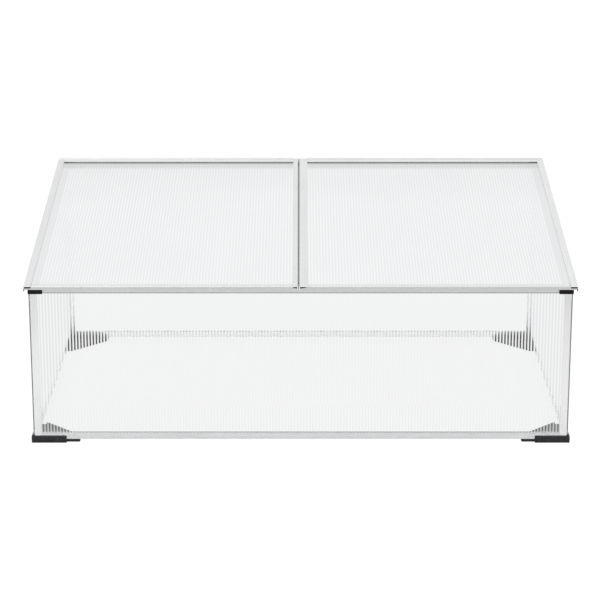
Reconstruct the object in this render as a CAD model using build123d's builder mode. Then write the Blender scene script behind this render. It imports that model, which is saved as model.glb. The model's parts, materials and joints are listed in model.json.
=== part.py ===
from build123d import *
from collections import namedtuple
import math
import os

# A glazed garden frame with a low front, a high back and two sloping lids side by side.
# Four corner posts, bottom and top rails and twin-wall sheets stand on four braced feet.
# The lids hang on a round bead along the back rail and close against a centre rafter.
# Millimetres. +X right, +Y to the back, +Z up; origin at the centre of the footprint, on the
# ground. The lids are drawn shut. In their terms u runs down the slope from the hinge axis to
# the front, and n along the outward normal.

os.makedirs("parts", exist_ok=True)

# ---------------------------------------------------------------- driving dimensions
FRAME_W = 990.0            # over the outer faces of the corner posts
FRAME_D = 628.0            # front post face to rear post face
HALF_W, HALF_D = FRAME_W / 2, FRAME_D / 2
FIT = 0.1                  # clearance between fitted parts

WALL = 1.2                 # extrusion wall
SLOT = 4.6                 # glazing slot
CHANNEL = SLOT + 2 * WALL
MID = CHANNEL / 2          # middle of a channel; also the post's screw port, in X and in Y
POST_ARM = 16.0

RAIL_Z0, RAIL_Z1 = 6.5, 18.7       # bottom rails
RAIL_WEB_Z = 10.5                  # underside of their web

HINGE_Y, HINGE_Z = 315.5, 391.2    # lid hinge axis
SLOPE_SIN = 0.1450
SLOPE_COS = math.sqrt(1 - SLOPE_SIN**2)

TOP_N = -3.35              # plane that the top of the frame lies on, below the hinge axis
FRONT_TOP_Z = 295.5        # top of the front top rail
TOP_RAIL_H = 8.0
BACK_Z0, BACK_Z1 = 373.0, 383.8    # channel of the back hinge rail

CAP_ARM = 25.6             # arm length of the caps and blocks on the posts
CAP_PROUD = 0.6            # how far they stand out at the sides
FRONT_CAP_Z0 = 286.7
REAR_CAP_Z0, REAR_CAP_Z1 = 374.0, 386.3

PORT_HOLE_R = 1.9          # screws into the posts' ports: hole, shank and sunk head seat
PORT_SCREW_R = 1.8
CAP_SEAT_R = 2.9
FRONT_SEAT_Z = FRONT_CAP_Z0 + 5
REAR_SEAT_Z = REAR_CAP_Z1 - 3

LID_LEN = 641.4            # hinge axis to the lid's front face, along the slope
LID_X0 = 502.5             # outer edge of each lid
GAP_L, GAP_R = -5.2, -2.6  # the two lids' facing edges

RAFTER_X = (GAP_L + GAP_R) / 2
SEAT_U = (13.6, 622.0)     # rafter screws, rear and front
RAFTER_HOLE_R = 1.6

# ---------------------------------------------------------------- directions and planes
X_AXIS, Y_AXIS, Z_AXIS = (1, 0, 0), (0, 1, 0), (0, 0, 1)
DOWN_LID = Vector(0, -SLOPE_COS, -SLOPE_SIN)
LID_NORMAL = Vector(0, -SLOPE_SIN, SLOPE_COS)
HINGE = Vector(0, HINGE_Y, HINGE_Z)


def lid_point(x, u, n):
    return HINGE + Vector(x, 0, 0) + DOWN_LID * u + LID_NORMAL * n


def lid_section(u):
    """Plane across the lid's length: local x is X, local y the lid normal, extrude to the front."""
    return Plane(origin=lid_point(0, u, 0), x_dir=X_AXIS, z_dir=DOWN_LID)


def lid_side(x):
    """Plane across the width: local x is down the lid, local y the normal, extrude to -X."""
    return Plane(origin=lid_point(x, 0, 0), x_dir=DOWN_LID, z_dir=(-1, 0, 0))


def cross_plane(x, u, n, direction):
    """Plane at a lid point, for pins along X; extrude runs to +X or -X by direction."""
    return Plane(origin=lid_point(x, u, n), x_dir=DOWN_LID, z_dir=(direction, 0, 0))


def rafter_seat(u):
    """Plane on the rafter's top at one of its screws, facing out along the lid normal."""
    return Plane(origin=lid_point(RAFTER_X, u, TOP_N), x_dir=X_AXIS, z_dir=LID_NORMAL)


def corner_plane(z, y_sign=-1):
    """Level plane with its origin at the left front corner, or the left rear one for y_sign 1."""
    return Plane(origin=(-HALF_W, y_sign * HALF_D, z), x_dir=X_AXIS, z_dir=Z_AXIS)


def width_plane(x, y=0):
    """Upright plane: local x runs to the back, local y up, extrude runs to +X."""
    return Plane(origin=(x, y, 0), x_dir=Y_AXIS, z_dir=X_AXIS)


def left_depth_plane(y):
    """Upright plane at the left face: local x is X, local y up, extrude runs to the front."""
    return Plane(origin=(-HALF_W, y, 0), x_dir=X_AXIS, z_dir=(0, -1, 0))


def frame_top_z(y):
    """Height of the frame's sloping top plane at depth y."""
    return HINGE_Z + (TOP_N - SLOPE_SIN * (HINGE_Y - y)) / SLOPE_COS


# ---------------------------------------------------------------- shared helpers
def save(part, name):
    part.label = name
    export_step(part, f"parts/{name}.step")


def save_pair(part, left_name):
    """Save a left-hand piece and its mirror image on the right."""
    save(part, left_name)
    save(mirror(part, about=Plane.YZ), left_name.replace("left", "right"))


def front_to_back(part):
    return mirror(part, about=Plane.XZ)


def outer_corner_edge(builder):
    """The upright edge nearest the frame's left front corner."""
    upright = builder.edges().filter_by(Axis.Z)
    return upright.sort_by(lambda e: e.center().X + e.center().Y)[0:1]


def cross_recess(length, width):
    Rectangle(length, width)
    Rectangle(width, length)


# ---------------------------------------------------------------- corner posts
def make_post(top):
    """Two glazing slots at right angles round a square screw port; rounded outer corner."""
    arm, full, inside = POST_ARM, CHANNEL, CHANNEL - WALL
    with BuildPart() as post:
        with BuildSketch(corner_plane(RAIL_Z0)):
            with BuildLine():
                Polyline(
                    (3, 0), (arm, 0), (arm, WALL), (full, WALL), (full, inside), (arm, inside),
                    (arm, full), (full, full), (full, arm), (inside, arm), (inside, full),
                    (WALL, full), (WALL, arm), (0, arm), (0, 3))
                RadiusArc((0, 3), (3, 0), 3)
            make_face()
            with Locations((MID, MID)):
                Rectangle(SLOT, SLOT, mode=Mode.SUBTRACT)
        extrude(amount=top - RAIL_Z0)
    return post.part


# ---------------------------------------------------------------- bottom rails
def make_bottom_rail(plane, length):
    """H section: glazing slot above, channel below that sits over the foot's rib."""
    inside, floor = CHANNEL - WALL, RAIL_WEB_Z + WALL
    with BuildPart() as rail:
        with BuildSketch(plane):
            with BuildLine():
                Polyline(
                    (0, RAIL_Z0), (WALL, RAIL_Z0), (WALL, RAIL_WEB_Z), (inside, RAIL_WEB_Z),
                    (inside, RAIL_Z0), (CHANNEL, RAIL_Z0), (CHANNEL, RAIL_Z1), (inside, RAIL_Z1),
                    (inside, floor), (WALL, floor), (WALL, RAIL_Z1), (0.35, RAIL_Z1),
                    (0, RAIL_Z1 - 0.35), (0, 17.0), (0.5, 16.6), (0.5, 15.6), (0, 15.2),
                    close=True)
            make_face()
        extrude(amount=length)
    return rail.part


def bottom_rails():
    width = 2 * (HALF_W - POST_ARM) - 2 * FIT
    depth = 2 * (HALF_D - POST_ARM) - 2 * FIT
    front = make_bottom_rail(width_plane(-width / 2, -HALF_D), width)
    save(front, "front_bottom_rail")
    save(front_to_back(front), "rear_bottom_rail")
    save_pair(make_bottom_rail(left_depth_plane(depth / 2), depth), "left_bottom_rail")


# ---------------------------------------------------------------- top rails, front and sides
def top_rail_outline(top):
    """Slot below for the glazing, flat top that the lid closes on, stiffening lip inside."""
    low, under, inside = top - TOP_RAIL_H, top - WALL, CHANNEL - WALL
    Polyline(
        (0.3, top), (18, top), (18, low), (16.8, low), (16.8, under), (CHANNEL, under),
        (CHANNEL, low), (inside, low), (inside, under), (WALL, under), (WALL, low), (0.4, low),
        (0.4, low + 1.3), (0, low + 1.7), (0, top - 0.3), close=True)


def front_top_rail():
    length = 2 * (HALF_W - CAP_ARM) - 2 * FIT
    with BuildPart() as rail:
        with BuildSketch(width_plane(-length / 2, -HALF_D)):
            with BuildLine():
                top_rail_outline(FRONT_TOP_Z)
            make_face()
        extrude(amount=length)
        with Locations(rafter_seat(SEAT_U[1])):
            Cylinder(RAFTER_HOLE_R, 12, mode=Mode.SUBTRACT)
    save(rail.part, "front_top_rail")


def side_top_rails():
    """Upright section drawn out along the slope."""
    half_depth = HALF_D - CAP_ARM - FIT
    with BuildPart() as rail:
        with BuildSketch(left_depth_plane(-half_depth)):
            with BuildLine():
                top_rail_outline(frame_top_z(-half_depth))
            make_face()
        extrude(amount=2 * half_depth / SLOPE_COS, dir=(0, SLOPE_COS, SLOPE_SIN))
    save_pair(rail.part, "left_top_rail")


# ---------------------------------------------------------------- back hinge rail
HINGE_RAIL_L = 998.0
BEAD_R = 2.60
NECK_T = 1.4


def back_hinge_rail():
    """Glazing channel, ledge for the rafter and a round hinge bead on a neck."""
    back, front = HALF_D, HALF_D - CHANNEL
    neck_back, neck_front = HINGE_Y + NECK_T / 2, HINGE_Y - NECK_T / 2
    under = BACK_Z1 - WALL
    with BuildPart() as rail:
        with BuildSketch(width_plane(-HINGE_RAIL_L / 2)):
            with BuildLine():
                Polyline(
                    (back, BACK_Z0), (back, BACK_Z1), (neck_back, BACK_Z1),
                    (neck_back, HINGE_Z - 1), (neck_front, HINGE_Z - 1),
                    (neck_front, BACK_Z1 + WALL), (back - WALL, BACK_Z1 + WALL),
                    (back - WALL - 0.4, BACK_Z1), (front - 8, BACK_Z1), (front - 8, under),
                    (front, under), (front, BACK_Z0), (front + WALL, BACK_Z0),
                    (front + WALL, under), (back - WALL, under), (back - WALL, BACK_Z0),
                    close=True)
            make_face()
            with Locations((HINGE_Y, HINGE_Z)):
                Circle(BEAD_R)
        extrude(amount=HINGE_RAIL_L)
        # the channel stops at the corner blocks; only the bead runs on over them
        for side in (-1, 1):
            cut_x = side * (HALF_W - CAP_ARM - FIT + 30)
            with Locations((cut_x, HALF_D - 10, REAR_CAP_Z1 + FIT - 20)):
                Box(60, 40, 40, mode=Mode.SUBTRACT)
        with Locations(rafter_seat(SEAT_U[0])):
            Cylinder(RAFTER_HOLE_R, 8, mode=Mode.SUBTRACT)
    save(rail.part, "back_hinge_rail")


# ---------------------------------------------------------------- caps and blocks on the posts
CAP_NOSE = 2.4             # how far the front cap stands out at the front
CAP_INSIDE = CHANNEL + 0.6  # inner faces of the caps' arms
SPIGOT_T = 3.0
SPIGOT_REACH = 44.0
SIDE_SPIGOT_X = 16.5       # inner edge of the side tongue


def make_spigots(y_sign, rail_top, depth):
    """Tongues of a corner piece that slide in under the flanges of the two rails it joins."""
    near, reach = CHANNEL + FIT, SPIGOT_REACH
    side_top_n = TOP_N - WALL * SLOPE_COS - 0.15
    u0, u1 = sorted((HINGE_Y - y_sign * (HALF_D - d)) / SLOPE_COS for d in (near, reach))
    with BuildPart() as tongues:
        with BuildSketch(corner_plane(rail_top - WALL - FIT, y_sign)):
            with BuildLine():
                Polyline(
                    (near, -y_sign * near), (reach, -y_sign * near),
                    (reach, -y_sign * (depth - 3)), (reach - 3, -y_sign * depth),
                    (near, -y_sign * depth), close=True)
            make_face()
        extrude(amount=-SPIGOT_T)
        with BuildSketch(lid_section(u0)):
            middle_x = -HALF_W + (near + SIDE_SPIGOT_X) / 2
            with Locations((middle_x, side_top_n - SPIGOT_T / 2)):
                Rectangle(SIDE_SPIGOT_X - near, SPIGOT_T)
        extrude(amount=u1 - u0)
    return tongues.part


def front_corner_caps():
    port_x, port_y = -HALF_W + MID, -HALF_D + MID
    slot_y0, slot_y1 = -HALF_D + CHANNEL, -HALF_D + 40
    spigots = make_spigots(-1, FRONT_TOP_Z, 16.5)
    with BuildPart() as cap:
        with BuildSketch(corner_plane(FRONT_CAP_Z0)):
            with BuildLine():
                Polyline(
                    (-CAP_PROUD, -CAP_NOSE), (CAP_ARM, -CAP_NOSE), (CAP_ARM, CAP_INSIDE),
                    (CAP_INSIDE, CAP_INSIDE), (CAP_INSIDE, CAP_ARM), (-CAP_PROUD, CAP_ARM),
                    close=True)
            make_face()
        extrude(amount=20)
        fillet(outer_corner_edge(cap), 1.5)
        add(spigots)
        split(bisect_by=Plane(origin=lid_point(0, 0, TOP_N), z_dir=-LID_NORMAL), keep=Keep.TOP)
        # the arm along the front is trimmed level with the front rail
        with Locations((-HALF_W + CAP_ARM / 2 + 10, -HALF_D - 5, FRONT_TOP_Z + 10)):
            Box(CAP_ARM + 60, 30, 20, mode=Mode.SUBTRACT)
        # glazing slots
        with Locations((-HALF_W + CHANNEL + 20, port_y, FRONT_CAP_Z0 + 3.6)):
            Box(40, SLOT, 7.2, mode=Mode.SUBTRACT)
        with BuildSketch(width_plane(-HALF_W + MID - SLOT / 2)):
            with BuildLine():
                Polyline(
                    (slot_y0, FRONT_CAP_Z0 - 1), (slot_y1, FRONT_CAP_Z0 - 1),
                    (slot_y1, frame_top_z(slot_y1) - 1.4),
                    (slot_y0, frame_top_z(slot_y0) - 1.4), close=True)
            make_face()
        extrude(amount=SLOT, mode=Mode.SUBTRACT)
        # screw seat over the post's port
        with Locations((port_x, port_y, FRONT_SEAT_Z)):
            Cylinder(PORT_HOLE_R, 40, mode=Mode.SUBTRACT)
        with Locations((port_x, port_y, FRONT_SEAT_Z + 10)):
            Cylinder(CAP_SEAT_R, 20, mode=Mode.SUBTRACT)
    save_pair(cap.part, "front_left_corner_cap")


def rear_corner_blocks():
    port_x, port_y = -HALF_W + MID, HALF_D - MID
    spigots = make_spigots(1, BACK_Z1, 14.5)
    with BuildPart() as block:
        with BuildSketch(corner_plane(REAR_CAP_Z0, 1)):
            with BuildLine():
                Polyline(
                    (-CAP_PROUD, 0), (CAP_ARM, 0), (CAP_ARM, -CAP_INSIDE),
                    (CHANNEL + 17, -CAP_INSIDE), (CAP_INSIDE, -CHANNEL - 17),
                    (CAP_INSIDE, -CAP_ARM), (-CAP_PROUD, -CAP_ARM), close=True)
            make_face()
        extrude(amount=REAR_CAP_Z1 - REAR_CAP_Z0)
        add(spigots)
        split(bisect_by=Plane(origin=lid_point(0, 0, TOP_N), z_dir=-LID_NORMAL), keep=Keep.TOP)
        # glazing slots
        with Locations((-HALF_W + CHANNEL + 20, port_y, REAR_CAP_Z0 + 5)):
            Box(40, SLOT, 10, mode=Mode.SUBTRACT)
        with Locations((port_x, HALF_D - CHANNEL - 20, REAR_CAP_Z0 + 4.1)):
            Box(SLOT, 40, 8.2, mode=Mode.SUBTRACT)
        # screw seat over the post's port
        with Locations((port_x, port_y, REAR_CAP_Z0 + 5)):
            Cylinder(PORT_HOLE_R, 40, mode=Mode.SUBTRACT)
        with Locations((port_x, port_y, REAR_SEAT_Z + 10)):
            Cylinder(CAP_SEAT_R, 20, mode=Mode.SUBTRACT)
    save_pair(block.part, "rear_left_corner_block")


# ---------------------------------------------------------------- feet
FOOT_ARM = 61.5
FOOT_H = 12.5
FOOT_PROUD = 3.0
GUSSET = 101.5             # corner plate: x + y along its diagonal edge
TIP = 15.5                 # how much of each pointed tip of the plate is cut off
DECK_Z0, DECK_Z1 = 0.8, 4.8


def feet():
    """L-shaped socket for the post and both rails, on a braced corner plate."""
    inside = CHANNEL + FOOT_PROUD
    plate = GUSSET - TIP
    web_t = 4.2
    rib_start = POST_ARM + 2
    rib_mid, rib_length = (rib_start + FOOT_ARM) / 2, FOOT_ARM - rib_start
    with BuildPart() as foot:
        with BuildSketch(corner_plane(0)):
            with BuildLine():
                Polyline(
                    (-FOOT_PROUD, -FOOT_PROUD), (FOOT_ARM, -FOOT_PROUD), (FOOT_ARM, inside),
                    (inside, inside), (inside, FOOT_ARM), (-FOOT_PROUD, FOOT_ARM), close=True)
            make_face()
        extrude(amount=FOOT_H)
        fillet(outer_corner_edge(foot), 1.8)
        chamfer(foot.faces().sort_by(Axis.Z)[-1].edges(), 0.6)
        # corner plate under the rails, clear of the ground, with cut-off tips
        with BuildSketch(corner_plane(DECK_Z0)):
            with BuildLine():
                Polyline(
                    (0.8, 0.8), (plate, 0.8), (plate, TIP), (TIP, plate), (0.8, plate),
                    close=True)
            make_face()
        extrude(amount=DECK_Z1 - DECK_Z0)
        # upright web along the diagonal edge
        with BuildSketch(corner_plane(DECK_Z1)):
            with BuildLine():
                Polyline(
                    (plate, TIP), (TIP, plate), (TIP, plate - web_t), (plate - web_t, TIP),
                    close=True)
            make_face()
        extrude(amount=4.2)
        # low rib from the corner towards the middle of that web
        with BuildSketch(corner_plane(DECK_Z1)):
            with BuildLine():
                Polyline((9, 9), (12.4, 9), (51.0, 47.6), (47.6, 51.0), (9, 12.4), close=True)
            make_face()
        extrude(amount=2.6)
        # trough
        low, high, end = -FIT, CHANNEL + FIT, FOOT_ARM + 1
        with BuildSketch(corner_plane(6.45)):
            with BuildLine():
                Polyline(
                    (low, low), (end, low), (end, high), (high, high), (high, end), (low, end),
                    close=True)
            make_face()
        extrude(amount=FOOT_H, mode=Mode.SUBTRACT)
        # ribs that enter the channel under each rail
        with BuildSketch(corner_plane(6.0)):
            with Locations((rib_mid, MID)):
                Rectangle(rib_length, SLOT - 0.4)
            with Locations((MID, rib_mid)):
                Rectangle(SLOT - 0.4, rib_length)
        extrude(amount=4.2)
        # screw up into the post's port
        with Locations((-HALF_W + MID, -HALF_D + MID, 0)):
            Cylinder(PORT_HOLE_R, 40, mode=Mode.SUBTRACT)
            Cylinder(3.6, 6.0, mode=Mode.SUBTRACT)
    save_pair(foot.part, "front_left_foot")
    save_pair(front_to_back(foot.part), "rear_left_foot")


# ---------------------------------------------------------------- twin-wall glazing
PANEL_T = 4.0
FLUTE_PITCH = 5.7
SKIN, RIB = 0.32, 0.32
PANEL_Z0 = RAIL_WEB_Z + WALL + FIT


def twin_wall(width):
    """Sheet cross-section: two skins joined by ribs at the pitch; local x across the flutes."""
    cells = int((width - 2 * RIB) / FLUTE_PITCH)
    Rectangle(width, PANEL_T)
    with GridLocations(FLUTE_PITCH, 1, cells, 1):
        Rectangle(FLUTE_PITCH - RIB, PANEL_T - 2 * SKIN, mode=Mode.SUBTRACT)


def end_panel(name, y, top):
    with BuildPart() as panel:
        with BuildSketch(Plane(origin=(0, y, PANEL_Z0), x_dir=X_AXIS, z_dir=Z_AXIS)):
            twin_wall(2 * (HALF_W - CHANNEL - 1))
        extrude(amount=top - PANEL_Z0)
    save(panel.part, name)


def side_panels():
    with BuildPart() as panel:
        with BuildSketch(Plane(origin=(-HALF_W + MID, 0, PANEL_Z0), x_dir=Y_AXIS, z_dir=Z_AXIS)):
            twin_wall(2 * (HALF_D - CHANNEL - 1))
        extrude(amount=REAR_CAP_Z0 + 8.0 - PANEL_Z0)
        # top edge cut to the slope
        split(bisect_by=Plane(origin=(0, 0, frame_top_z(0) - 1.9), z_dir=-LID_NORMAL),
              keep=Keep.TOP)
    save_pair(panel.part, "left_side_panel")


# ---------------------------------------------------------------- centre rafter
RAFTER_U0, RAFTER_U1 = 10.5, 625.8
FLANGE_T = 1.5


def centre_rafter():
    with BuildPart() as rafter:
        with BuildSketch(lid_section(RAFTER_U0)):
            with Locations((RAFTER_X, TOP_N - FLANGE_T / 2)):
                Rectangle(12, FLANGE_T)
            with Locations((RAFTER_X, TOP_N - FLANGE_T / 2 - 7)):
                Rectangle(1.6, 13)
        extrude(amount=RAFTER_U1 - RAFTER_U0)
        # the web stops short of both rails, so that only the flange laps over them
        with BuildSketch(lid_side(RAFTER_X + 4)):
            for u, length in ((615, 50), (6, 40)):
                with Locations((u, TOP_N - FLANGE_T - 10)):
                    Rectangle(length, 20)
        extrude(amount=8, mode=Mode.SUBTRACT)
        for u in SEAT_U:
            with Locations(rafter_seat(u)):
                CounterSinkHole(RAFTER_HOLE_R, 2.9, depth=6)
    save(rafter.part, "centre_rafter")


# ---------------------------------------------------------------- lids
# A stile: x of its outer face, direction (+1 or -1) from there into the lid, width over the
# flanges, and the n that its wall runs down to.
Stile = namedtuple("Stile", "x inward width drip")

STILE_TOP, STILE_SLOT = 4.6, 3.5   # n of the top flange's two faces
STILE_BOT = -3.0
LOWER_N = -2.0             # upper face of the bottom flanges
STILE_U0 = 9.5             # rear ends of the stiles, clear of the hinge barrel
DRIP_N = -5.5              # lower edge of the outer stiles
OUT_W = 13.4               # width of the outer stiles
BARREL_R, BORE_R = 4.2, 2.68
BARREL_MOUTH = (-62, -90, -119, -148, -176)  # degrees, from down the lid towards its normal
HINGE_RAIL_U1 = 24.0       # front edge of the hinge rail's upper flange
HINGE_RAIL_U1_LOW = 18.5   # and of its lower flange
FRONT_RAIL_U0 = LID_LEN - 12.0
FRONT_BOX = 5.4            # depth of the front rail's solid front, round its screw port
SCREW_US = (12.9, LID_LEN - FRONT_BOX / 2)
PORT = 2.8
PANEL_N0 = -1.95           # underside of the lid's sheet


def lid_stile(name, stile):
    """Top and bottom flanges joined by the wall at the outer face."""
    x, inward, width, drip = stile
    wall_x, tip_x = x + inward * WALL, x + inward * width
    tail = [(wall_x, STILE_BOT), (wall_x, drip)] if drip < STILE_BOT else []
    with BuildPart() as bar:
        with BuildSketch(lid_section(STILE_U0)):
            with BuildLine():
                Polyline(
                    (x, STILE_TOP - 0.6), (x + inward * 0.6, STILE_TOP), (tip_x, STILE_TOP),
                    (tip_x, STILE_SLOT), (wall_x, STILE_SLOT), (wall_x, LOWER_N),
                    (tip_x, LOWER_N), (tip_x, STILE_BOT), *tail, (x, drip), close=True)
            make_face()
        extrude(amount=LID_LEN + 1.0 - STILE_U0)
        # bottom flange cut away where the two cross rails enter
        for u0, u1 in ((STILE_U0 - 1, HINGE_RAIL_U1 + FIT), (FRONT_RAIL_U0 - FIT, LID_LEN + 2)):
            with BuildSketch(lid_section(u0)):
                with Locations((x + inward * (WALL + 10), -2.6)):
                    Rectangle(20, 1.4)
            extrude(amount=u1 - u0, mode=Mode.SUBTRACT)
        for u in SCREW_US:
            with Locations(cross_plane(x, u, 0, 1)):
                Cylinder(1.45, 8, mode=Mode.SUBTRACT)
    save(bar.part, name)


def cross_rail_span(outer, inner):
    """Right-hand end and length of a rail that fits between the two stiles' walls."""
    ends = [stile.x + stile.inward * (WALL + 0.05) for stile in (outer, inner)]
    return max(ends), max(ends) - min(ends)


def lid_hinge_rail(tag, outer, inner):
    """Open barrel round the bead, web, screw port and glazing slot."""
    right_end, length = cross_rail_span(outer, inner)
    mouth = [(9 * math.cos(math.radians(a)), 9 * math.sin(math.radians(a))) for a in BARREL_MOUTH]
    tip, low_tip = HINGE_RAIL_U1, HINGE_RAIL_U1_LOW
    with BuildPart() as rail:
        with BuildSketch(lid_side(right_end)):
            Circle(BARREL_R)
            Circle(BORE_R, mode=Mode.SUBTRACT)
            # mouth of the barrel: room for the bead's neck from shut to fully open
            with BuildLine():
                Polyline((0, 0), *mouth, close=True)
            make_face(mode=Mode.SUBTRACT)
            with Locations((6.65, 0)):
                Rectangle(6.3, 1.8)
            with BuildLine():
                Polyline(
                    (STILE_U0, STILE_BOT), (STILE_U0, 4.1), (STILE_U0 + 0.4, 4.5),
                    (tip - 0.3, 4.5), (tip, 4.2), (tip, 2.35), (tip - 1.2, 2.35),
                    (tip - 1.2, 3.4), (16.4, 3.4), (16.4, LOWER_N), (low_tip, LOWER_N),
                    (low_tip, STILE_BOT), close=True)
            make_face()
            with Locations((SCREW_US[0], 0)):
                Rectangle(PORT, PORT, mode=Mode.SUBTRACT)
        extrude(amount=length)
        # the raised flange is notched where it passes under the stiles
        for stile in (outer, inner):
            notch_x = stile.x + stile.inward * (stile.width / 2 - 2)
            for u0, floor_n, run in ((5, 3.4, 35), (17, 2.2, 20)):
                with BuildSketch(lid_section(u0)):
                    with Locations((notch_x, floor_n + 2)):
                        Rectangle(stile.width + 4.2, 4)
                extrude(amount=run, mode=Mode.SUBTRACT)
        # barrel and web stop short of the inner stile, so the bead shows there
        with BuildSketch(lid_section(-8)):
            with Locations((inner.x + inner.inward * (inner.width / 2 - 2), 0)):
                Rectangle(inner.width + 4.2, 14)
        extrude(amount=8 + STILE_U0 - 0.05, mode=Mode.SUBTRACT)
    save(rail.part, f"{tag}_lid_hinge_rail")


def lid_front_rail(tag, outer, inner):
    """Glazing slot facing the hinge, screw port, plain front face."""
    right_end, length = cross_rail_span(outer, inner)
    back, front = FRONT_RAIL_U0, LID_LEN
    beyond_x = inner.x - inner.inward * 2
    tip_x = inner.x + inner.inward * (inner.width + 0.1)
    with BuildPart() as rail:
        with BuildSketch(lid_side(right_end)):
            with BuildLine():
                Polyline(
                    (back, 3.45), (front - 0.5, 3.45), (front, 2.95), (front, -2.6),
                    (front - 0.4, STILE_BOT), (back, STILE_BOT), (back, LOWER_N),
                    (front - FRONT_BOX, LOWER_N), (front - FRONT_BOX, 2.35), (back, 2.35),
                    close=True)
            make_face()
            with Locations((SCREW_US[1], 0)):
                Rectangle(PORT, PORT, mode=Mode.SUBTRACT)
        extrude(amount=length)
        # notched where it passes under the stiles
        with BuildSketch(lid_section(back - 2)):
            with Locations((outer.x + outer.inward * (outer.width / 2 - 2), 1.9 + 2)):
                Rectangle(outer.width + 4.2, 4)
            with BuildLine():
                Polyline(
                    (beyond_x, 1.5), (inner.x + inner.inward * 1.2, 1.5), (tip_x, 3.4),
                    (tip_x, 6), (beyond_x, 6), close=True)
            make_face()
        extrude(amount=20, mode=Mode.SUBTRACT)
    save(rail.part, f"{tag}_lid_front_rail")


def lid_panel(tag, outer, inner):
    outer_x = outer.x + outer.inward * (WALL + 2.0)
    inner_x = inner.x + inner.inward * (WALL + 1.6)
    u0, u1 = 17.0, LID_LEN - FRONT_BOX - 0.5
    origin = lid_point((outer_x + inner_x) / 2, u0, PANEL_N0 + PANEL_T / 2)
    with BuildPart() as sheet:
        with BuildSketch(Plane(origin=origin, x_dir=X_AXIS, z_dir=DOWN_LID)):
            twin_wall(abs(inner_x - outer_x))
        extrude(amount=u1 - u0)
    save(sheet.part, f"{tag}_lid_panel")


def lid_screws(tag, outer, inner):
    """Pan-head screws through the stiles into the rails' ports."""
    head_h = 1.0
    with BuildPart() as screws:
        for stile in (outer, inner):
            for u in SCREW_US:
                seat = cross_plane(stile.x, u, 0, stile.inward)
                with BuildSketch(seat):
                    Circle(1.3)
                extrude(amount=14)
                with BuildSketch(seat):
                    Circle(2.7)
                extrude(amount=-head_h)
                with BuildSketch(seat.offset(-head_h)):
                    cross_recess(3.2, 0.7)
                extrude(amount=0.5, mode=Mode.SUBTRACT)
    save(screws.part, f"{tag}_lid_screws")


def lid(tag, outer, inner):
    lid_stile(f"{tag}_lid_outer_stile", outer)
    lid_stile(f"{tag}_lid_inner_stile", inner)
    lid_hinge_rail(tag, outer, inner)
    lid_front_rail(tag, outer, inner)
    lid_panel(tag, outer, inner)
    lid_screws(tag, outer, inner)


# ---------------------------------------------------------------- lid stays
# Flat notched bar under each inner stile, on a rivet in a small bracket; a clip holds its
# free end.
STAY_T = 2.0
STAY_L = 250.0             # between the centres of its round ends
STAY_H = 11.0
PIVOT_U, PIVOT_N = 600.0, -10.2
RIVET_R = 2.0
RIVET_HOLE_R = RIVET_R + 0.06
TAB_T = 1.2
TAB_GAP = 0.2              # between bar and bracket tab
STAY_TOP_N = -3.05         # top of bracket and clip, just under the stile


def stay_arm(tag, x_mid):
    with BuildPart() as arm:
        with BuildSketch(lid_side(x_mid + STAY_T / 2)):
            with Locations((PIVOT_U - STAY_L / 2, PIVOT_N)):
                SlotCenterToCenter(STAY_L, STAY_H)
            with Locations((PIVOT_U, PIVOT_N)):
                Circle(RIVET_HOLE_R, mode=Mode.SUBTRACT)
            for back in (110, 175, 240):
                with Locations((PIVOT_U - back, PIVOT_N - STAY_H / 2)):
                    Circle(3.4, mode=Mode.SUBTRACT)
        extrude(amount=STAY_T)
    save(arm.part, f"{tag}_stay_arm")


def stay_bracket(tag, x_mid):
    """Tab on the right of the bar, and a foot under the stile."""
    tab_x = x_mid + STAY_T / 2 + TAB_GAP + TAB_T / 2
    half_foot, foot_t = 12, 1.1
    with BuildPart() as bracket:
        with BuildSketch(lid_side(tab_x + TAB_T / 2)):
            with BuildLine():
                Polyline(
                    (PIVOT_U - half_foot, STAY_TOP_N), (PIVOT_U + half_foot, STAY_TOP_N),
                    (PIVOT_U + 5.5, PIVOT_N - 2), (PIVOT_U + 3, PIVOT_N - 5.5),
                    (PIVOT_U - 3, PIVOT_N - 5.5), (PIVOT_U - 5.5, PIVOT_N - 2), close=True)
            make_face()
            with Locations((PIVOT_U, PIVOT_N)):
                Circle(RIVET_HOLE_R, mode=Mode.SUBTRACT)
        extrude(amount=TAB_T)
        with BuildSketch(lid_section(PIVOT_U - half_foot)):
            with Locations((tab_x - 1.9, STAY_TOP_N - foot_t / 2)):
                Rectangle(5.0, foot_t)
        extrude(amount=2 * half_foot)
    save(bracket.part, f"{tag}_stay_bracket")


def stay_rivet(tag, x_mid):
    """Rivet with a head on each side, through bar and tab."""
    head_t = 1.0
    stack = head_t + STAY_T + TAB_GAP + TAB_T
    start = cross_plane(x_mid - STAY_T / 2 - head_t, PIVOT_U, PIVOT_N, 1)
    with BuildPart() as rivet:
        with BuildSketch(start):
            Circle(3.4)
        extrude(amount=head_t - 0.05)
        with BuildSketch(start):
            Circle(RIVET_R)
        extrude(amount=stack + 0.3)
        with BuildSketch(start.offset(stack + 0.05)):
            Circle(2.9)
        extrude(amount=0.5)
    save(rivet.part, f"{tag}_stay_rivet")


def stay_clip(tag, x_mid):
    """Spring clip: open downwards, straddles the free end."""
    clip_u, clip_l = PIVOT_U - STAY_L + 18, 10
    bridge_t, leg_t, leg_h = 1.2, 0.9, 8.8
    with BuildPart() as clip:
        with BuildSketch(lid_section(clip_u - clip_l / 2)):
            with Locations((x_mid, STAY_TOP_N - bridge_t / 2)):
                Rectangle(STAY_T + 2 * (leg_t + FIT), bridge_t)
            for side in (-1, 1):
                leg_x = x_mid + side * (STAY_T / 2 + FIT + leg_t / 2)
                with Locations((leg_x, STAY_TOP_N - leg_h / 2)):
                    Rectangle(leg_t, leg_h)
        extrude(amount=clip_l)
    save(clip.part, f"{tag}_stay_clip")


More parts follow.
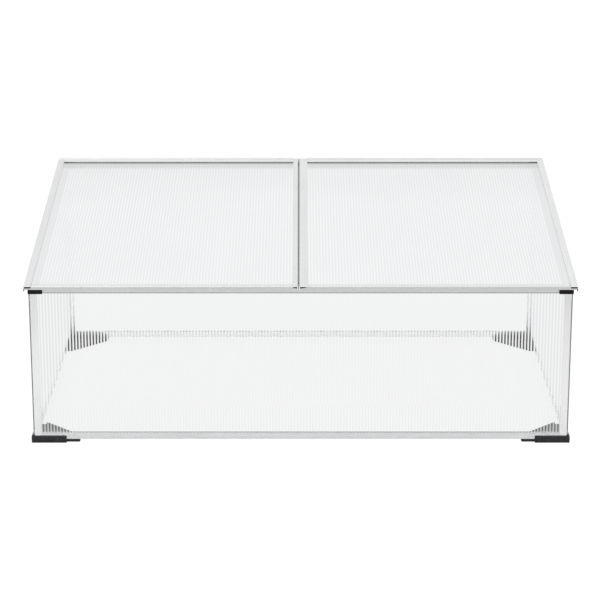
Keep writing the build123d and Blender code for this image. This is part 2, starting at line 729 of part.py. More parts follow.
# ---------------------------------------------------------------- fixings in the frame
def foot_screws():
    """Four screws pointing up, recessed from below."""
    head_z, head_h = 0.9, 2.0
    with BuildPart() as screws:
        for side in (-1, 1):
            for end in (-1, 1):
                place = (side * (HALF_W - MID), end * (HALF_D - MID))
                with BuildSketch(Plane.XY.offset(head_z)):
                    with Locations(place):
                        Circle(3.3)
                extrude(amount=head_h)
                with BuildSketch(Plane.XY.offset(head_z + head_h)):
                    with Locations(place):
                        Circle(PORT_SCREW_R)
                extrude(amount=22)
                with BuildSketch(Plane.XY.offset(head_z)):
                    with Locations(place):
                        cross_recess(3.6, 0.8)
                extrude(amount=1.0, mode=Mode.SUBTRACT)
    save(screws.part, "foot_screws")


def corner_cap_screws():
    """Four screws pointing down, their heads just clear of the seats."""
    head_h = 1.8
    with BuildPart() as screws:
        for side in (-1, 1):
            for end, seat_z in ((-1, FRONT_SEAT_Z), (1, REAR_SEAT_Z)):
                place = (side * (HALF_W - MID), end * (HALF_D - MID))
                head_z = seat_z + 0.05
                with BuildSketch(Plane.XY.offset(head_z)):
                    with Locations(place):
                        Circle(2.7)
                extrude(amount=head_h)
                with BuildSketch(Plane.XY.offset(head_z)):
                    with Locations(place):
                        Circle(PORT_SCREW_R)
                extrude(amount=-20)
                with BuildSketch(Plane.XY.offset(head_z + head_h)):
                    with Locations(place):
                        cross_recess(3.4, 0.8)
                extrude(amount=-0.9, mode=Mode.SUBTRACT)
    save(screws.part, "corner_cap_screws")


def rafter_screws():
    """Two countersunk screws, a little below the rafter's top."""
    with BuildPart() as screws:
        for u in SEAT_U:
            top = Plane(origin=lid_point(RAFTER_X, u, TOP_N - 0.05), x_dir=X_AXIS,
                        z_dir=-LID_NORMAL)
            with BuildSketch(top):
                Circle(2.75)
            with BuildSketch(top.offset(1.25)):
                Circle(1.5)
            loft()
            with BuildSketch(top):
                Circle(1.5)
            extrude(amount=6)
    save(screws.part, "rafter_screws")


# ---------------------------------------------------------------- build everything
save_pair(make_post(FRONT_CAP_Z0 - FIT), "front_left_post")
save_pair(front_to_back(make_post(REAR_CAP_Z0 - FIT)), "rear_left_post")
bottom_rails()
front_top_rail()
side_top_rails()
back_hinge_rail()
front_corner_caps()
rear_corner_blocks()
feet()
end_panel("front_panel", -HALF_D + MID, FRONT_TOP_Z - WALL - 0.4)
end_panel("rear_panel", HALF_D - MID, BACK_Z1 - WALL - 0.4)
side_panels()
centre_rafter()

lid("left", Stile(-LID_X0, 1, OUT_W, DRIP_N), Stile(GAP_L, -1, 10.0, STILE_BOT))
lid("right", Stile(LID_X0, -1, OUT_W, DRIP_N), Stile(GAP_R, 1, 16.4, STILE_BOT))

# x of the middle of each stay's bar
for stay_tag, stay_x in (("left", -13.6), ("right", 9.4)):
    stay_arm(stay_tag, stay_x)
    stay_bracket(stay_tag, stay_x)
    stay_rivet(stay_tag, stay_x)
    stay_clip(stay_tag, stay_x)

foot_screws()
corner_cap_screws()
rafter_screws()
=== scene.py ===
import json
import math

import bpy
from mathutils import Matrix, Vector


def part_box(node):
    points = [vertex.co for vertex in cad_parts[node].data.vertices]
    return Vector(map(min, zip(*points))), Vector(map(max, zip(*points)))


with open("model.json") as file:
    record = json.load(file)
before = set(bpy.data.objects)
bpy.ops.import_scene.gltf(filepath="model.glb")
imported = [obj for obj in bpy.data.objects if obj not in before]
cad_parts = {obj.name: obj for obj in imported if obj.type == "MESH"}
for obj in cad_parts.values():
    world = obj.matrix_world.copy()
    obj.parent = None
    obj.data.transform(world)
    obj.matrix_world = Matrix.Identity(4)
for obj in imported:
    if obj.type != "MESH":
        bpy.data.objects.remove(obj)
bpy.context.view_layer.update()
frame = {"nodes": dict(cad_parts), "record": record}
record = frame["record"]
nodes = frame["nodes"]
scene = bpy.context.scene

MM = 0.001
AX = Vector((1, 0, 0))
hinge = next(j for j in record["behaviour"]["joints"] if j["name"] == "left_lid_hinge")
H = Vector(hinge["pos_m"])

# ---------------------------------------------------------------- the lid's slope, from its own box
# height = length * sin + 4 mm * cos, depth = length * cos + 4 mm * sin
lo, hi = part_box("left_lid_panel")
dy, dz = hi[1] - lo[1], hi[2] - lo[2]
CA, SA = 1.0, 0.0
for _ in range(30):
    length = (dy - 0.004 * SA) / CA
    SA = (dz - 0.004 * CA) / length
    CA = math.sqrt(1 - SA * SA)
U = Vector((0, -CA, -SA))
N = Vector((0, -SA, CA))


# ---------------------------------------------------------------- node helpers
class Tree:
    def __init__(self, material):
        self.t = material.node_tree
        self.n = self.t.nodes
        self.l = self.t.links

    def new(self, kind, **props):
        node = self.n.new(kind)
        for k, v in props.items():
            setattr(node, k, v)
        return node

    def put(self, socket, value):
        if hasattr(value, "is_output") or isinstance(value, bpy.types.NodeSocket):
            self.l.new(value, socket)
        elif isinstance(value, (tuple, list, Vector)) and len(value) == 3 and socket.type == "RGBA":
            socket.default_value = (*value, 1)
        else:
            socket.default_value = value

    def math(self, op, a, b=None, c=None, clamp=False):
        node = self.new("ShaderNodeMath", operation=op, use_clamp=clamp)
        self.put(node.inputs[0], a)
        if b is not None:
            self.put(node.inputs[1], b)
        if c is not None:
            self.put(node.inputs[2], c)
        return node.outputs[0]

    def dot(self, a, b):
        node = self.new("ShaderNodeVectorMath", operation="DOT_PRODUCT")
        self.put(node.inputs[0], a)
        self.put(node.inputs[1], b)
        return node.outputs["Value"]

    def vmul(self, a, b):
        node = self.new("ShaderNodeVectorMath", operation="MULTIPLY")
        self.put(node.inputs[0], a)
        self.put(node.inputs[1], b)
        return node.outputs["Vector"]

    def noise(self, vector, scale, detail=2.0, rough=0.5, distortion=0.0):
        node = self.new("ShaderNodeTexNoise")
        self.put(node.inputs["Vector"], vector)
        self.put(node.inputs["Scale"], scale)
        self.put(node.inputs["Detail"], detail)
        self.put(node.inputs["Roughness"], rough)
        self.put(node.inputs["Distortion"], distortion)
        return node.outputs["Fac"]

    def ramp(self, value, a, b, low=0.0, high=1.0, smooth=True):
        node = self.new("ShaderNodeMapRange", interpolation_type="SMOOTHSTEP" if smooth else "LINEAR")
        self.put(node.inputs["Value"], value)
        self.put(node.inputs["From Min"], a)
        self.put(node.inputs["From Max"], b)
        self.put(node.inputs["To Min"], low)
        self.put(node.inputs["To Max"], high)
        return node.outputs["Result"]

    def mix(self, fac, a, b):
        node = self.new("ShaderNodeMix", data_type="RGBA")
        self.put(node.inputs["Factor"], fac)
        self.put(node.inputs[6], a)
        self.put(node.inputs[7], b)
        return node.outputs[2]

    def mix_shader(self, fac, a, b):
        node = self.new("ShaderNodeMixShader")
        self.put(node.inputs[0], fac)
        self.l.new(a, node.inputs[1])
        self.l.new(b, node.inputs[2])
        return node.outputs[0]


def material(name):
    m = bpy.data.materials.new(name)
    m.use_nodes = True
    m.node_tree.nodes.clear()
    t = Tree(m)
    out = t.new("ShaderNodeOutputMaterial")
    coord = t.new("ShaderNodeTexCoord").outputs["Object"]
    return m, t, out, coord


def principled(t, **values):
    node = t.new("ShaderNodeBsdfPrincipled")
    for k, v in values.items():
        t.put(node.inputs[k.replace("_", " ")], v)
    return node


def bump(t, height, strength, distance, normal=None):
    node = t.new("ShaderNodeBump")
    t.put(node.inputs["Height"], height)
    t.put(node.inputs["Strength"], strength)
    t.put(node.inputs["Distance"], distance)
    if normal is not None:
        t.put(node.inputs["Normal"], normal)
    return node.outputs["Normal"]


def studio(t, direction):
    """Brightness of the studio in a direction: bright above, dark flags left and right, pale floor below."""
    sep = t.new("ShaderNodeSeparateXYZ")
    t.put(sep.inputs[0], direction)
    up = t.ramp(sep.outputs[2], 0.0, 0.9, 0.80, 1.0)
    side = t.ramp(t.math("ABSOLUTE", sep.outputs[0]), 0.72, 0.96, 1.0, 0.30)
    front = t.ramp(sep.outputs[1], -1.0, 0.4, 0.82, 1.0)
    return t.math("MULTIPLY", t.math("MULTIPLY", up, side), front), sep.outputs[2]


def edge_mask(t, radius, samples=4):
    """1 on worn edges, 0 on flats; also gives the rounded normal."""
    bevel = t.new("ShaderNodeBevel", samples=samples)
    t.put(bevel.inputs["Radius"], radius)
    geo = t.new("ShaderNodeNewGeometry")
    d = t.dot(bevel.outputs["Normal"], geo.outputs["True Normal"])
    return t.ramp(d, 0.995, 0.80, 0.0, 1.0), bevel.outputs["Normal"]


# ---------------------------------------------------------------- aluminium, with extrusion lines along one direction
def aluminium(name, along, base=0.82, rough=0.30, tint=(1.0, 1.004, 1.012), dims=(), bands=(), round_dim=1.0, crevice=0.15,
              spots=(), fade=None):
    """dims: (direction, factor) is painted shade on faces that look that way; bands: (direction, from, to, factor) is a
    painted shadow strip between two heights along a direction; round_dim is painted shade on a rounded vertical corner;
    spots:
    (factor, ((direction, from, to), ...)) is painted shade in a box; fade: (direction, from, to, factor, factor) is a
    gradient of painted shade."""
    m, t, out, coord = material(name)
    along = Vector(along)
    # long in the extrusion direction, very fine across it
    stretch = Vector([60 + (2200 - 60) * (1 - abs(c)) ** 2 for c in along])
    if abs(along.y) > 0.9 and abs(along.z) > 0.05:
        # lines along the slope: shear z into y first
        u = t.dot(coord, U)
        n = t.dot(coord, N)
        x = t.dot(coord, AX)
        comb = t.new("ShaderNodeCombineXYZ")
        t.put(comb.inputs[0], x)
        t.put(comb.inputs[1], u)
        t.put(comb.inputs[2], n)
        src = comb.outputs[0]
        stretch = Vector((2200, 60, 2200))
    else:
        src = coord
    lines_v = t.vmul(src, stretch)
    lines = t.noise(lines_v, 1.0, 3.0, 0.6)
    broad = t.noise(t.vmul(src, stretch * 0.12), 1.0, 2.0, 0.5)
    cloud = t.noise(coord, 14.0, 3.0, 0.6)
    specks = t.noise(coord, 900.0, 2.0, 0.5)
    wear, round_n = edge_mask(t, 0.00035)
    tone = t.math("ADD", t.math("MULTIPLY", lines, 0.10), t.math("MULTIPLY", broad, 0.10))
    tone = t.math("ADD", tone, t.math("MULTIPLY", cloud, 0.08))
    tone = t.math("ADD", tone, base - 0.14)
    tone = t.math("ADD", tone, t.math("MULTIPLY", wear, 0.10))
    # painted shade: crevices, creases and corners darkened from ambient occlusion, down to the crevice factor
    ao = t.new("ShaderNodeAmbientOcclusion", samples=4)
    t.put(ao.inputs["Distance"], 0.006)
    crevice_shade = t.ramp(ao.outputs["AO"], 0.05, 0.72, crevice, 1.0)
    tone = t.math("MULTIPLY", tone, crevice_shade)
    true_n = t.new("ShaderNodeNewGeometry").outputs["True Normal"]
    # painted shade on faces that look in the given directions
    for direction, factor in dims:
        face = t.dot(true_n, tuple(direction))
        tone = t.math("MULTIPLY", tone, t.ramp(face, 0.75, 0.95, 1.0, factor))
    # painted shadow strips between two heights
    for direction, a, b_, factor in bands:
        h = t.dot(coord, tuple(direction))
        soft = 0.0003
        inside = t.math("MULTIPLY", t.ramp(h, a - soft, a + soft), t.ramp(h, b_ - soft, b_ + soft, 1.0, 0.0))
        tone = t.math("MULTIPLY", tone, t.math("SUBTRACT", 1.0, t.math("MULTIPLY", inside, 1.0 - factor)))
    # painted shade inside boxes
    for factor, walls in spots:
        inside = None
        for direction, a, b_ in walls:
            h = t.dot(coord, tuple(direction))
            one = t.math("MULTIPLY", t.ramp(h, a - 0.0002, a + 0.0002), t.ramp(h, b_ - 0.0002, b_ + 0.0002, 1.0, 0.0))
            inside = one if inside is None else t.math("MULTIPLY", inside, one)
        tone = t.math("MULTIPLY", tone, t.math("SUBTRACT", 1.0, t.math("MULTIPLY", inside, 1.0 - factor)))
    # a gradient of painted shade
    if fade is not None:
        direction, a, b_, low_f, high_f = fade
        tone = t.math("MULTIPLY", tone, t.ramp(t.dot(coord, tuple(direction)), a, b_, low_f, high_f))
    # painted shade on the rounded vertical corners
    if round_dim < 1.0:
        sep = t.new("ShaderNodeSeparateXYZ")
        t.put(sep.inputs[0], true_n)
        corner = t.math("ABSOLUTE", t.math("MULTIPLY", sep.outputs[0], sep.outputs[1]))
        tone = t.math("MULTIPLY", tone, t.ramp(corner, 0.08, 0.30, 1.0, round_dim))
    comb = t.new("ShaderNodeCombineColor")
    for i, k in enumerate(tint):
        t.put(comb.inputs[i], t.math("MULTIPLY", tone, k))
    r = t.math("ADD", t.math("MULTIPLY", lines, 0.10), rough - 0.05)
    r = t.math("ADD", r, t.math("MULTIPLY", t.ramp(specks, 0.62, 0.72), 0.12))
    r = t.math("ADD", r, t.math("MULTIPLY", cloud, 0.06))
    b = bump(t, lines, 0.35, 0.00003, round_n)
    b = bump(t, broad, 0.25, 0.00008, b)
    bs = principled(t, Base_Color=comb.outputs[0], Metallic=1.0, Roughness=r, Normal=b)
    t.l.new(bs.outputs[0], out.inputs[0])
    return m


# ---------------------------------------------------------------- moulded black plastic
def black_plastic(name, base=0.011, ior=1.36):
    m, t, out, coord = material(name)
    grain = t.noise(coord, 2600.0, 3.0, 0.65)
    mottle = t.noise(coord, 90.0, 3.0, 0.6)
    flow = t.noise(t.vmul(coord, (60, 60, 420)), 1.0, 2.0, 0.5, 0.4)
    wear, round_n = edge_mask(t, 0.0007)
    dust = t.ramp(t.dot(t.new("ShaderNodeNewGeometry").outputs["Normal"], (0, 0, 1)), 0.3, 1.0, 0.0, 0.12)
    c = t.mix(t.ramp(mottle, 0.3, 0.7), (base * 0.8, base * 0.85, base * 0.95), (base * 1.25, base * 1.35, base * 1.55))
    c = t.mix(t.math("MULTIPLY", wear, 0.35), c, (0.10, 0.11, 0.125))
    c = t.mix(t.math("MULTIPLY", dust, t.ramp(grain, 0.4, 0.7)), c, (0.20, 0.21, 0.22))
    r = t.math("ADD", 0.42, t.math("MULTIPLY", grain, 0.18))
    b = bump(t, grain, 0.5, 0.00006, round_n)
    b = bump(t, flow, 0.2, 0.0002, b)
    bs = principled(t, Base_Color=c, Roughness=r, Normal=b, IOR=ior)
    t.l.new(bs.outputs[0], out.inputs[0])
    return m


def steel(name, base=0.62, rough=0.28):
    m, t, out, coord = material(name)
    grain = t.noise(coord, 3000.0, 3.0, 0.6)
    spangle = t.noise(coord, 500.0, 1.0, 0.5)
    wear, round_n = edge_mask(t, 0.0002)
    c = t.mix(t.ramp(spangle, 0.35, 0.65), (base * 0.92, base * 0.94, base * 0.97), (base * 1.06, base * 1.05, base * 1.02))
    c = t.mix(t.math("MULTIPLY", wear, 0.5), c, (0.8, 0.8, 0.8))
    r = t.math("ADD", rough, t.math("MULTIPLY", grain, 0.16))
    b = bump(t, grain, 0.3, 0.00003, round_n)
    bs = principled(t, Base_Color=c, Metallic=1.0, Roughness=r, Normal=b)
    t.l.new(bs.outputs[0], out.inputs[0])
    return m


# ---------------------------------------------------------------- twin-wall polycarbonate
PITCH = 5.7 * MM


def twinwall(name, node, across, normal, haze=0.05, swing=0.66, lit=0.775, dark=0.01, tint=0.972, leak=0.40, edge=(0.05, 0.75),
             calm=1.0, shine_k=0.85, rib_k=0.22, veil=1.0, veil_stripe=0.0, low=None, shade_far=None):
    """Clear sheet: both skins nearly clear, whitened in stripes over the ribs; the ribs themselves are milky."""
    m, t, out, coord = material(name)
    across, normal = Vector(across), Vector(normal)
    a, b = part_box(node)
    centre = (Vector(a) + Vector(b)) / 2
    width = abs(across.dot(Vector(b) - Vector(a)))
    cells = int((width * 1000 - 0.64) / 5.7 + 1e-6)
    phase = 0.0 if cells % 2 == 0 else 0.5
    x = t.math("SUBTRACT", t.dot(coord, across), across.dot(centre))
    w = t.math("SUBTRACT", t.dot(coord, normal), normal.dot(centre))
    xs = t.math("ADD", t.math("DIVIDE", x, PITCH), phase)
    cell = t.math("FLOOR", xs)
    # every flute differs a little from the next, and wanders along its length
    per_cell = t.new("ShaderNodeTexWhiteNoise", noise_dimensions="1D")
    t.put(per_cell.inputs["W"], cell)
    along = normal.cross(across)
    v = t.dot(coord, along)
    comb = t.new("ShaderNodeCombineXYZ")
    t.put(comb.inputs[0], t.math("MULTIPLY", x, 28.0))
    t.put(comb.inputs[1], t.math("MULTIPLY", v, 5.0))
    drift = t.noise(comb.outputs[0], 1.0, 2.0, 0.5)
    cosw = t.math("COSINE", t.math("MULTIPLY", xs, 2 * math.pi))
    stripe = t.ramp(cosw, edge[0], edge[1])
    outer = t.ramp(t.math("ABSOLUTE", w), 1.70 * MM, 1.85 * MM)
    geo = t.new("ShaderNodeNewGeometry")
    rib = t.ramp(t.math("ABSOLUTE", t.dot(geo.outputs["True Normal"], across)), 0.4, 0.8)
    comb = t.new("ShaderNodeCombineXYZ")
    t.put(comb.inputs[0], t.math("MULTIPLY", x, 420.0))
    t.put(comb.inputs[1], t.math("MULTIPLY", v, 9.0))
    draw = t.noise(comb.outputs[0], 1.0, 3.0, 0.6)
    smears = t.noise(coord, 9.0, 3.0, 0.6)
    path = t.new("ShaderNodeLightPath")
    seen = path.outputs["Is Camera Ray"]
    if low is not None:
        # splashed and duller towards the ground
        direction, a_, b_, haze_low, swing_low = low
        h = t.dot(coord, tuple(direction))
        haze = t.ramp(h, a_, b_, haze_low, haze)
        swing = t.ramp(h, a_, b_, swing_low, swing)
    milk = t.math("ADD", haze, t.math("MULTIPLY", stripe, swing))
    milk = t.math("ADD", milk, t.math("MULTIPLY", t.math("SUBTRACT", smears, 0.5), 0.04 * calm))
    milk = t.math("ADD", milk, t.math("MULTIPLY", t.math("SUBTRACT", draw, 0.5), 0.03 * calm))
    milk = t.math("ADD", milk, t.math("MULTIPLY", t.math("SUBTRACT", per_cell.outputs["Value"], 0.5), 0.04 * calm))
    milk = t.math("MULTIPLY", milk, outer)
    milk = t.math("ADD", milk, t.math("MULTIPLY", rib, rib_k), clamp=True)
    milk = t.math("MULTIPLY", milk, t.ramp(seen, 0.0, 1.0, leak, 1.0, smooth=False))
    shade = t.math("SUBTRACT", lit, t.math("MULTIPLY", stripe, dark))
    shade = t.math("ADD", shade, t.math("MULTIPLY", t.math("SUBTRACT", drift, 0.5), 0.06 * calm))
    if shade_far is not None:
        # painted shade: the sheet darker towards the hinge end, with a painted contact shadow just in front of the
        # hinge rail
        direction, a_, b_, factor = shade_far
        h = t.dot(coord, tuple(direction))
        fade = t.math("MULTIPLY", t.ramp(h, a_, b_, factor, 1.0), t.ramp(h, b_, b_ + 0.20, 0.965, 1.0, smooth=False))
        fade = t.math("MULTIPLY", fade, t.ramp(h, a_ - 0.019, a_ - 0.010, 0.78, 1.0))
        shade = t.math("MULTIPLY", shade, fade)
    # the first surface the eye meets carries the sheet's own greyness, so that it is even over a white ground
    first = t.math("MULTIPLY", t.math("LESS_THAN", path.outputs["Transparent Depth"], 0.5), seen)
    cover = t.math("SUBTRACT", 1.0, t.math("MULTIPLY", first, t.math("ADD", 1.0 - veil, t.math("MULTIPLY", stripe, veil_stripe))))
    shade = t.math("MULTIPLY", shade, cover)
    comb = t.new("ShaderNodeCombineColor")
    t.put(comb.inputs[0], t.math("MULTIPLY", shade, 0.997))
    t.put(comb.inputs[1], shade)
    t.put(comb.inputs[2], t.math("MULTIPLY", shade, 1.004))
    diff = t.new("ShaderNodeBsdfDiffuse")
    t.put(diff.inputs["Color"], comb.outputs[0])
    trl = t.new("ShaderNodeBsdfTranslucent")
    t.put(trl.inputs["Color"], comb.outputs[0])
    body = t.mix_shader(0.5, diff.outputs[0], trl.outputs[0])
    # painted light: to the eye the milkiness is an emission standing in for the even light of the white studio
    # scattered inside the sheet
    painted_scatter_glow = t.new("ShaderNodeEmission")
    t.put(painted_scatter_glow.inputs["Color"], comb.outputs[0])
    t.put(painted_scatter_glow.inputs["Strength"], 1.20)
    body = t.mix_shader(seen, body, painted_scatter_glow.outputs[0])
    clear = t.new("ShaderNodeBsdfTransparent")
    tone = t.math("SUBTRACT", 1.0, t.math("MULTIPLY", outer, 1.0 - tint))
    if shade_far is not None:
        tone = t.math("SUBTRACT", 1.0, t.math("MULTIPLY", outer, t.math("SUBTRACT", 1.0, t.math("MULTIPLY", tone, fade))))
    tone = t.math("MULTIPLY", tone, cover)
    comb = t.new("ShaderNodeCombineColor")
    t.put(comb.inputs[0], t.math("MULTIPLY", tone, 0.999))
    t.put(comb.inputs[1], tone)
    t.put(comb.inputs[2], tone)
    t.put(clear.inputs["Color"], comb.outputs[0])
    base = t.mix_shader(milk, clear.outputs[0], body)
    # painted reflection: the studio mirrored in the sheet, drawn as an emission whose strength follows the reflected
    # direction, mixed in by Fresnel
    env, z = studio(t, t.new("ShaderNodeTexCoord").outputs["Reflection"])
    env = t.math("ADD", t.math("MULTIPLY", env, t.ramp(z, -0.05, 0.05)), t.ramp(z, -0.05, 0.05, 0.90, 0.0))
    env = t.math("MULTIPLY", env, t.math("ADD", 0.97, t.math("MULTIPLY", smears, 0.06)))
    painted_reflection = t.new("ShaderNodeEmission")
    t.put(painted_reflection.inputs["Color"], (0.985, 0.99, 1.0))
    t.put(painted_reflection.inputs["Strength"], env)
    fres = t.new("ShaderNodeFresnel")
    t.put(fres.inputs["IOR"], 1.50)
    shine = t.math("MULTIPLY", fres.outputs[0], t.math("MULTIPLY", outer, shine_k))
    shine = t.math("MULTIPLY", shine, seen)
    total = t.mix_shader(shine, base, painted_reflection.outputs[0])
    t.l.new(total, out.inputs[0])
    return m


# ---------------------------------------------------------------- assign
FRONT, UP = Vector((0, -1, 0)), Vector((0, 0, 1))


def span(node, direction):
    """Where a node starts and ends along a direction, from its box."""
    a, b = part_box(node)
    return a[2] if direction.z else a[1], b[2] if direction.z else b[1]


hu = U.dot(H)
fz0, fz1 = span("front_top_rail", UP)
bz0, bz1 = span("front_bottom_rail", UP)
# one aluminium finish in lit and shaded copies: base brightness and painted shade (dims, bands, spots, fade, round_dim,
# crevice) differ part by part to stand in for how light falls on each
alu_x = aluminium("Aluminium_along_X", (1, 0, 0))
alu_low = aluminium("Aluminium_bottom_rails", (1, 0, 0), dims=((FRONT, 0.79),), crevice=0.55)
alu_low_y = aluminium("Aluminium_side_bottom_rails", (0, 1, 0), base=0.96, crevice=0.75)
# painted shadow: a dark strip along the bottom edge of the front top rail, and painted shade on its front face
alu_top = aluminium("Aluminium_front_top_rail", (1, 0, 0), dims=((FRONT, 0.64),), bands=((UP, fz0 - 0.001, fz0 + 0.0018, 0.55),))
alu_rear_low = aluminium("Aluminium_rear_bottom_rail", (1, 0, 0), base=0.90, crevice=0.70)
# painted shadow: near-black patches on the front rail below the open ends of the stiles
hn = N.dot(H)
outer_a, outer_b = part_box("left_lid_outer_stile"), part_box("right_lid_outer_stile")
inner_a, inner_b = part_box("left_lid_inner_stile"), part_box("right_lid_inner_stile")
shadows = [(0.03, ((AX, outer_a[0][0] + 0.0008, outer_a[1][0] - 0.0006), (N, hn + 0.0001, hn + 0.0026))),
           (0.03, ((AX, outer_b[0][0] + 0.0006, outer_b[1][0] - 0.0008), (N, hn + 0.0001, hn + 0.0026)))]
for (x0, x1) in ((inner_a[1][0] - 0.0018, inner_a[0][0] + 0.0010), (inner_b[0][0] + 0.0018, inner_b[1][0] - 0.0040)):
    # a wedge, deepest by the gap: a few steps make the taper
    for i in range(5):
        a0, a1 = x0 + (x1 - x0) * i / 5, x0 + (x1 - x0) * (i + 1) / 5
        shadows.append((0.03, ((AX, min(a0, a1), max(a0, a1)), (N, hn + 0.0001 + 0.0003 * i, hn + 0.0030))))
alu_lidfront = aluminium("Aluminium_lid_front_rails", (1, 0, 0), dims=((FRONT, 0.60),), spots=shadows)
alu_back = aluminium("Aluminium_back_rail", (1, 0, 0), dims=((FRONT, 0.95),), crevice=0.6)
alu_hinge = aluminium("Aluminium_lid_hinge_rails", (1, 0, 0), dims=((U, 0.56),), crevice=0.35)
alu_side = aluminium("Aluminium_side_top_rails", (0, CA, SA), dims=((N, 0.50),))
# painted shade: the front posts darker towards the top and on their rounded corners; the rear posts are lighter copies
alu_z = aluminium("Aluminium_along_Z", (0, 0, 1), dims=((FRONT, 0.90),), round_dim=0.55,
                  fade=(UP, 0.12, 0.30, 0.98, 0.84))
alu_z_rear = aluminium("Aluminium_rear_posts", (0, 0, 1), base=0.97, round_dim=0.75, crevice=0.85)
# painted shade on the cut end of the drip edge
end_u = hu + (H.y - outer_a[0][1] - SA * 0.0046) / CA
drip = [(0.10, ((U, end_u - 0.0012, end_u + 0.01), (N, hn - 0.0070, hn - 0.0002)))]
alu_u = aluminium("Aluminium_along_slope", (0, CA, SA), base=0.80)
alu_left = aluminium("Aluminium_left_stile", (0, CA, SA), base=0.80, dims=((AX, 0.42),), spots=drip)
alu_right = aluminium("Aluminium_right_stile", (0, CA, SA), base=0.83, dims=((-AX, 0.42),), spots=drip)
bar_u = aluminium("Aluminium_bar", (0, CA, SA), base=0.74, rough=0.36)
black = black_plastic("Black_nylon")
black_cap = black_plastic("Black_nylon_caps", 0.004, 1.22)
screw_m = steel("Stainless_screw")
zinc = steel("Zinc_plated_steel", 0.58, 0.34)

assign = {}
for n in nodes:
    if n.endswith("_panel"):
        continue
    if n.endswith("_corner_cap"):
        assign[n] = black_cap
        continue
    if n.endswith("_foot") or "corner_" in n and not n.endswith("screws") or n.endswith("_clip"):
        assign[n] = black
    elif n.endswith("screws"):
        assign[n] = screw_m
    elif n.endswith("bracket") or n.endswith("rivet"):
        assign[n] = zinc
    elif n.endswith("stay_arm"):
        assign[n] = bar_u
    elif n.endswith("_post"):
        assign[n] = alu_z
    elif n in ("left_bottom_rail", "right_bottom_rail"):
        assign[n] = alu_low_y
    elif n == "front_bottom_rail":
        assign[n] = alu_low
    elif n == "rear_bottom_rail":
        assign[n] = alu_rear_low
    elif n == "left_lid_outer_stile":
        assign[n] = alu_left
    elif n == "right_lid_outer_stile":
        assign[n] = alu_right
    elif n in ("left_top_rail", "right_top_rail"):
        assign[n] = alu_side
    elif "stile" in n or "rafter" in n:
        assign[n] = alu_u
    elif n == "front_top_rail":
        assign[n] = alu_top
    elif n in ("left_lid_front_rail", "right_lid_front_rail"):
        assign[n] = alu_lidfront
    elif n in ("left_lid_hinge_rail", "right_lid_hinge_rail"):
        assign[n] = alu_hinge
    elif n == "back_hinge_rail":
        assign[n] = alu_back
    else:
        assign[n] = alu_x
for n in ("rear_left_post", "rear_right_post"):
    assign[n] = alu_z_rear
assign["front_panel"] = twinwall("Twinwall_front", "front_panel", (1, 0, 0), (0, 1, 0), haze=0.02, swing=0.84, lit=0.91, dark=0.0, tint=1.0, veil=0.832, veil_stripe=0.012,
                                 calm=0.10, shine_k=0.60,
                                 edge=(-0.25, 0.60), low=(UP, 0.062, 0.080, 0.06, 0.28))
assign["rear_panel"] = twinwall("Twinwall_rear", "rear_panel", (1, 0, 0), (0, 1, 0), tint=0.998, lit=0.91, dark=0.0, swing=0.40, calm=0.1, rib_k=0.08,
                                veil=0.84, veil_stripe=0.05)
assign["left_side_panel"] = twinwall("Twinwall_left", "left_side_panel", (0, 1, 0), (1, 0, 0), tint=0.998, lit=0.91, dark=0.0, veil=0.84, veil_stripe=0.05,
                                     swing=0.40, calm=0.15, rib_k=0.08)
assign["right_side_panel"] = twinwall("Twinwall_right", "right_side_panel", (0, 1, 0), (1, 0, 0), tint=0.998, lit=0.91, dark=0.0, veil=0.84, veil_stripe=0.05,
                                      swing=0.40, calm=0.15, rib_k=0.08)
for side in ("left", "right"):
    assign[side + "_lid_panel"] = twinwall("Twinwall_" + side + "_lid", side + "_lid_panel", (1, 0, 0), N,
                                           haze=0.12, swing=0.30, lit=0.775, dark=0.135, tint=0.974, edge=(-0.6, 0.6),
                                           calm=0.7, shade_far=(U, hu + 0.046, hu + 0.060, 0.87))
for n, m in assign.items():
    o = nodes[n]
    o.data.materials.clear()
    o.data.materials.append(m)

# ---------------------------------------------------------------- floor
bpy.ops.mesh.primitive_plane_add(size=60, location=(0, 0, 0))
floor = bpy.context.object
floor.name = "Floor"
fm, t, out, coord = material("Floor_paper")
fibre = t.noise(coord, 240.0, 3.0, 0.6)
cloud = t.noise(coord, 1.3, 2.0, 0.5)
path = t.new("ShaderNodeLightPath")
val = t.math("ADD", 0.86, t.math("MULTIPLY", t.math("SUBTRACT", cloud, 0.5), 0.01))
val = t.math("ADD", val, t.math("MULTIPLY", t.math("SUBTRACT", fibre, 0.5), 0.01))
gl = t.math("MULTIPLY", path.outputs["Is Glossy Ray"], 0.06)
val = t.math("SUBTRACT", val, gl)
eye = path.outputs["Is Camera Ray"]
comb = t.new("ShaderNodeCombineColor")
for i in range(3):
    t.put(comb.inputs[i], val)
shown = t.math("MULTIPLY", val, t.math("SUBTRACT", 1.0, t.math("MULTIPLY", eye, 0.87)))
comb2 = t.new("ShaderNodeCombineColor")
for i in range(3):
    t.put(comb2.inputs[i], shown)
bs = t.new("ShaderNodeBsdfDiffuse")
t.put(bs.inputs["Color"], comb2.outputs[0])
t.put(bs.inputs["Normal"], bump(t, fibre, 0.05, 0.0002))
lift = t.new("ShaderNodeEmission")
t.put(lift.inputs["Color"], comb.outputs[0])
t.put(lift.inputs["Strength"], t.math("MULTIPLY", eye, 1.10))
both = t.new("ShaderNodeAddShader")
t.l.new(bs.outputs[0], both.inputs[0])
t.l.new(lift.outputs[0], both.inputs[1])
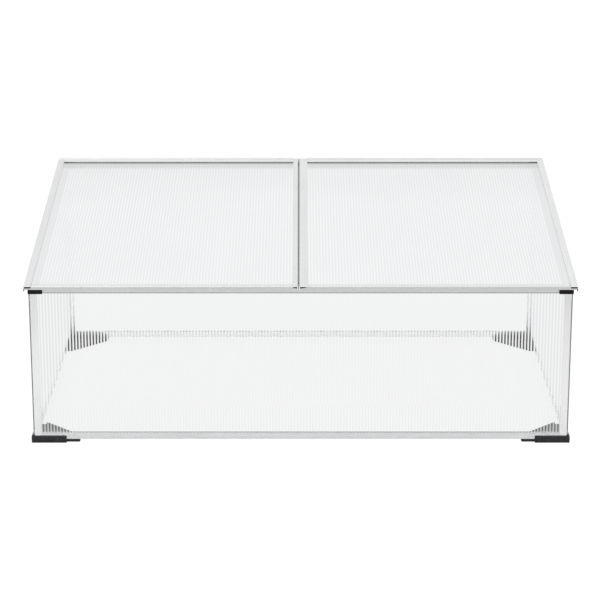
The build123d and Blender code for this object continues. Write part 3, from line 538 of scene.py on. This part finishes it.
# seen from below the paper isn't there, so that the underside can be looked at
below = t.new("ShaderNodeBsdfTransparent")
under = t.math("MULTIPLY", t.new("ShaderNodeNewGeometry").outputs["Backfacing"], eye)
t.l.new(t.mix_shader(under, both.outputs[0], below.outputs[0]), out.inputs[0])
floor.data.materials.append(fm)

# ---------------------------------------------------------------- studio
world = bpy.data.worlds.new("Studio")
scene.world = world
world.use_nodes = True
world.node_tree.nodes.clear()
w = Tree(world)
wout = w.new("ShaderNodeOutputWorld")
gen = w.new("ShaderNodeTexCoord").outputs["Generated"]
gloss_env, _ = studio(w, gen)
wp = w.new("ShaderNodeLightPath")
strength = w.new("ShaderNodeMix", data_type="FLOAT")
w.put(strength.inputs[0], wp.outputs["Is Glossy Ray"])
w.put(strength.inputs[2], 1.40)
w.put(strength.inputs[3], gloss_env)
bg = w.new("ShaderNodeBackground")
w.put(bg.inputs["Color"], (1.0, 1.0, 1.0))
w.put(bg.inputs["Strength"], strength.outputs[0])
w.l.new(bg.outputs[0], wout.inputs[0])


def softbox(name, loc, aim, size, energy):
    data = bpy.data.lights.new(name, "AREA")
    data.shape = "RECTANGLE"
    data.size, data.size_y = size
    data.energy = energy
    o = bpy.data.objects.new(name, data)
    scene.collection.objects.link(o)
    o.location = loc
    o.rotation_euler = (Vector(aim) - Vector(loc)).to_track_quat("-Z", "Y").to_euler()
    return o


softbox("Key", (-1.6, -2.2, 3.2), (0, 0, 0.2), (2.4, 1.8), 18)

# ---------------------------------------------------------------- camera
cam = bpy.data.cameras.new("Camera")
cam.sensor_width = 36
cam.lens = 36 * 2161.7 / 600
cam.clip_end = 100
co = bpy.data.objects.new("Camera", cam)
scene.collection.objects.link(co)
co.location = (-0.0013, -4.0745, 1.4025)
co.rotation_euler = (math.radians(90 - 16.69), 0, 0)
scene.camera = co

scene.view_settings.view_transform = "Standard"
scene.view_settings.look = "None"
scene.view_settings.exposure = 0
scene.view_settings.gamma = 1
scene.cycles.use_denoising = True
scene.cycles.transparent_max_bounces = 64
scene.cycles.min_transparent_bounces = 32
scene.cycles.max_bounces = 10
scene.cycles.diffuse_bounces = 4
scene.cycles.glossy_bounces = 4
scene.cycles.transmission_bounces = 4
